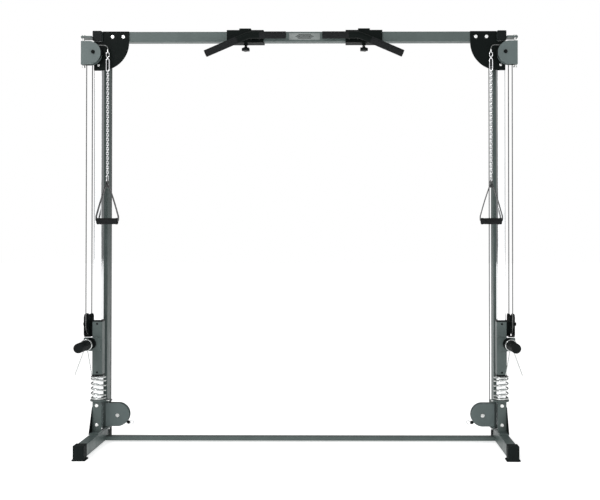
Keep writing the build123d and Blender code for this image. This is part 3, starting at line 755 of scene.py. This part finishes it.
def tower_fasteners(side, k):
    out = Vector((k, 0, 0))
    front = -BACK
    for place in ("high", "low"):
        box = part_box(f"{place}_housing_{side}")
        axle = middle(f"{place}_pulley_{side}")
        made = joined([
            bolt((axle.x, box[0].y + 1.5 * MM, axle.z), front, 13 * MM, 5 * MM),
            bolt((axle.x, box[1].y, axle.z), BACK, 15 * MM, 6 * MM)])
        new_piece(f"{place}_axle_bolt_{side}", made, "black_paint" if place == "high" else "bolt_steel",
                  f"{place}_swivel_{side}")
    axle = middle(f"carriage_pulley_{side}") + out * 19 * MM
    made = bolt(axle, out, 17 * MM, 7 * MM, False)
    new_piece(f"carriage_axle_nut_{side}", made, "black_paint", f"carriage_{side}")
    sleeve_low, sleeve_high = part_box(f"carriage_sleeve_{side}")
    face = GUIDE_FRONT - 5 * MM
    profile = [(5.5 * MM, -0.4 * MM), (5.5 * MM, 0.8 * MM), (4 * MM, 2.6 * MM),
               (1.8 * MM, 3.2 * MM), (1.6 * MM, 2.4 * MM), (0.5 * MM, 2.4 * MM)]
    inset = 11 * MM
    made = joined([lathe(profile, (TOWER_X * k, face + 1 * MM, z), front, 28)
                   for z in (sleeve_low.z + inset, sleeve_high.z - inset)])
    new_piece(f"glide_screws_{side}", made, "black_plastic", f"carriage_{side}")


def weld(path, radius=2.2 * MM):
    """A rippled fillet of weld metal under the paint."""
    points = []
    for a, b in zip(path, path[1:]):
        steps = max(4, int((Vector(b) - Vector(a)).length / (1.6 * MM)))
        points += straight(a, b, steps)[1 if points else 0:]
    radii = [radius * (1 + 0.16 * math.sin(i * 1.9) + random.uniform(-0.06, 0.06))
             for i in range(len(points))]
    return tube(points, radii, 8)


def welds():
    parts = []
    low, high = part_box("uprights")
    half, inset = 25 * MM, 5 * MM
    arm_out, arm_front, arm_back = 23 * MM, 50 * MM, 78 * MM
    arm_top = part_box("pivot_brackets")[1].z
    for k in (1, -1):
        x = k * TOWER_X
        for z in (low.z, high.z):
            for s in (1, -1):
                parts.append(weld([(x + s * half, low.y + inset, z), (x + s * half, high.y - inset, z)]))
            parts.append(weld([(x - half + inset, low.y, z), (x + half - inset, low.y, z)]))
        arm_x = x + k * arm_out
        parts.append(weld([(arm_x, arm_front, arm_top), (arm_x, arm_back, arm_top)], 1.8 * MM))
    made = joined(parts)
    new_piece("weld_beads", made, "frame_grey", "frame")


def boots():
    """Four moulded ribs on each rubber boot's end face."""
    low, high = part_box("base_boots")
    half, bottom, top = 2 * MM, 10 * MM, 64 * MM
    parts = []
    for k in (1, -1):
        x = k * TOWER_X
        for inward, y_end in ((1, low.y), (-1, high.y)):
            for i in range(4):
                xx = x - 18 * MM + 12 * MM * i
                outside, inside = y_end - inward * 0.9 * MM, y_end + inward * 1 * MM
                parts.append(rounded_bar((xx - half, min(y_end, outside), bottom),
                                         (xx + half, max(y_end, inside), top), 0.8 * MM))
    made = joined(parts)
    new_piece("boot_ribs", made, "black_rubber", "frame")


def beam_badge():
    """A blank pressed plate on the middle of the beam."""
    y = GUIDE_FRONT
    z = middle("crossbeam").z
    x = (middle("clamp_knob_left").x + middle("clamp_knob_right").x) / 2
    half_w, half_h = 78 * MM, 17 * MM
    made = joined([rounded_bar((x - half_w, y - 1.2 * MM, z - half_h),
                               (x + half_w, y + 0.4 * MM, z + half_h), 0.5 * MM)])
    new_piece("beam_badge", made, "badge_grey", "frame")
    lines = []
    for i in range(5):
        zz = z - 10 * MM + i * 5 * MM
        reach = (46 - 7 * abs(i - 2)) * MM
        lines.append(rounded_bar((x - reach, y - 2.0 * MM, zz - 0.9 * MM),
                                 (x + reach, y - 1.0 * MM, zz + 0.9 * MM), 0.3 * MM))
    made = joined(lines)
    new_piece("beam_badge_bars", made, "black_paint", "frame")


# the bent bar, in millimetres out from the machine's middle and down from the bar's straight length
BAR_END, FOAM_END, BAR_KNOB = 92.5, 222, 300
BAR_BEND, BAR_TIP = Vector((277, 0, 0)), Vector((490, 0, -92))
BEND_LENGTH = 62


def pull_up_grips(side, k):
    """Foam sleeves on the two straight lengths of the bent bar, and its plastic end plugs."""
    low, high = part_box(f"pull_up_handle_{side}")
    knob = middle(f"clamp_knob_{side}")
    bar_r = 17 * MM
    y, z = low.y + bar_r, high.z - 44.5 * MM
    origin = knob.x - k * BAR_KNOB * MM

    def at(out, drop=0.0):
        return Vector((origin + k * out * MM, y, z - drop * MM))

    slope = (BAR_TIP - BAR_BEND).normalized()
    foam_start = (BAR_BEND.x + slope.x * BEND_LENGTH, -slope.z * BEND_LENGTH)
    foam_end = (BAR_TIP.x - slope.x * 0.5, -BAR_TIP.z + slope.z * 0.5)
    runs = [((BAR_END, 0), (FOAM_END, 0)), (foam_start, foam_end)]
    sleeves, plugs = [], []
    for a, b in runs:
        start, end = at(*a), at(*b)
        path = straight(start, end, 48)
        radii = [bar_r + 0.9 * MM - (0.4 * MM if i % 2 else 0) for i in range(len(path))]
        radii[0] = radii[-1] = bar_r + 0.3 * MM
        radii[1] = radii[-2] = bar_r + 1.0 * MM
        sleeves.append(tube(path, radii, 36))
    plug = [(bar_r + 0.8 * MM, -1 * MM), (bar_r + 1.1 * MM, 0.5 * MM), (bar_r + 0.5 * MM, 2.6 * MM),
            (bar_r - 5 * MM, 3.6 * MM), (1 * MM, 3.9 * MM)]
    for at_end, direction in ((at(BAR_END), Vector((-k, 0, 0))),
                              (at(BAR_TIP.x, -BAR_TIP.z), Vector((k * slope.x, 0, slope.z)))):
        plugs.append(lathe(plug, at_end, direction, 36))
    made = joined(sleeves)
    new_piece(f"pull_up_foam_{side}", made, "grip_foam", f"pull_up_{side}")
    made = joined(plugs)
    new_piece(f"pull_up_plugs_{side}", made, "black_plastic", f"pull_up_{side}")


# ---- carry the CAD nodes over ----
def dress_cad_nodes():
    slots = {s["node"]: s["material_slot"] for s in frame["record"]["subparts"]}
    for name, node in NODES.items():
        node.data.materials.clear()
        node.data.materials.append(MATERIALS[slots[name]])
        for polygon in node.data.polygons:
            polygon.material_index = 0


# ---- stage ----
def make_stage():
    mesh = bpy.data.meshes.new("floor")
    size = 30
    corners = [(-size, -size, 0), (size, -size, 0), (size, size, 0), (-size, size, 0)]
    mesh.from_pydata(corners, [], [(0, 1, 2, 3)])
    floor = bpy.data.objects.new("floor", mesh)
    floor.data.materials.append(plain_floor("floor"))
    bpy.context.scene.collection.objects.link(floor)

    make_world()
    bpy.context.scene.view_settings.view_transform = "Standard"
    for name, place, size, power, target in (
            ("key", (-2.6, -3.4, 4.2), 2.2, 105, (0, 0, 1.0)),
            ("fill", (3.4, -3.0, 2.2), 3.0, 15, (0, 0, 1.0)),
            ("panel", (0, -7.5, 1.4), 8.0, 200, (0, 0, 1.2))):
        data = bpy.data.lights.new(name, "AREA")
        data.size = size
        data.energy = power
        light = bpy.data.objects.new(name, data)
        light.visible_camera = False
        light.location = place
        light.rotation_euler = (Vector(target) - Vector(place)).to_track_quat("-Z", "Y").to_euler()
        bpy.context.scene.collection.objects.link(light)


def make_world():
    """White behind the machine; the light it gives is a studio's, dark low down and bright overhead."""
    world = bpy.data.worlds.new("world")
    world.use_nodes = True
    tree = world.node_tree
    seen = tree.nodes["Background"]
    seen.inputs["Color"].default_value = (1, 1, 1, 1)
    where = tree.nodes.new("ShaderNodeTexCoord")
    split = tree.nodes.new("ShaderNodeSeparateXYZ")
    ramp = tree.nodes.new("ShaderNodeValToRGB")
    ramp.color_ramp.elements[0].position = 0.0
    ramp.color_ramp.elements[0].color = (0.30, 0.31, 0.31, 1)
    ramp.color_ramp.elements[1].position = 0.8
    ramp.color_ramp.elements[1].color = (1, 1, 1, 1)
    studio = tree.nodes.new("ShaderNodeBackground")
    studio.inputs["Strength"].default_value = 0.6
    path = tree.nodes.new("ShaderNodeLightPath")
    mix = tree.nodes.new("ShaderNodeMixShader")
    output = tree.nodes["World Output"]
    tree.links.new(where.outputs["Generated"], split.inputs["Vector"])
    tree.links.new(split.outputs["Z"], ramp.inputs["Fac"])
    tree.links.new(ramp.outputs["Color"], studio.inputs["Color"])
    tree.links.new(path.outputs["Is Camera Ray"], mix.inputs["Fac"])
    tree.links.new(studio.outputs["Background"], mix.inputs[1])
    tree.links.new(seen.outputs["Background"], mix.inputs[2])
    tree.links.new(mix.outputs["Shader"], output.inputs["Surface"])
    bpy.context.scene.world = world


make_camera()
dress_cad_nodes()
for side, k in SIDES.items():
    cables(side, k)
    chain_and_hooks(side)
    stirrup(side)
    grip(side)
    buffer_spring(side, k)
    spring_collar(side, k)
    tower_fasteners(side, k)
    pull_up_grips(side, k)
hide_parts("fixed_cables")    # one CAD node for both sides
welds()
boots()
beam_badge()
make_stage()
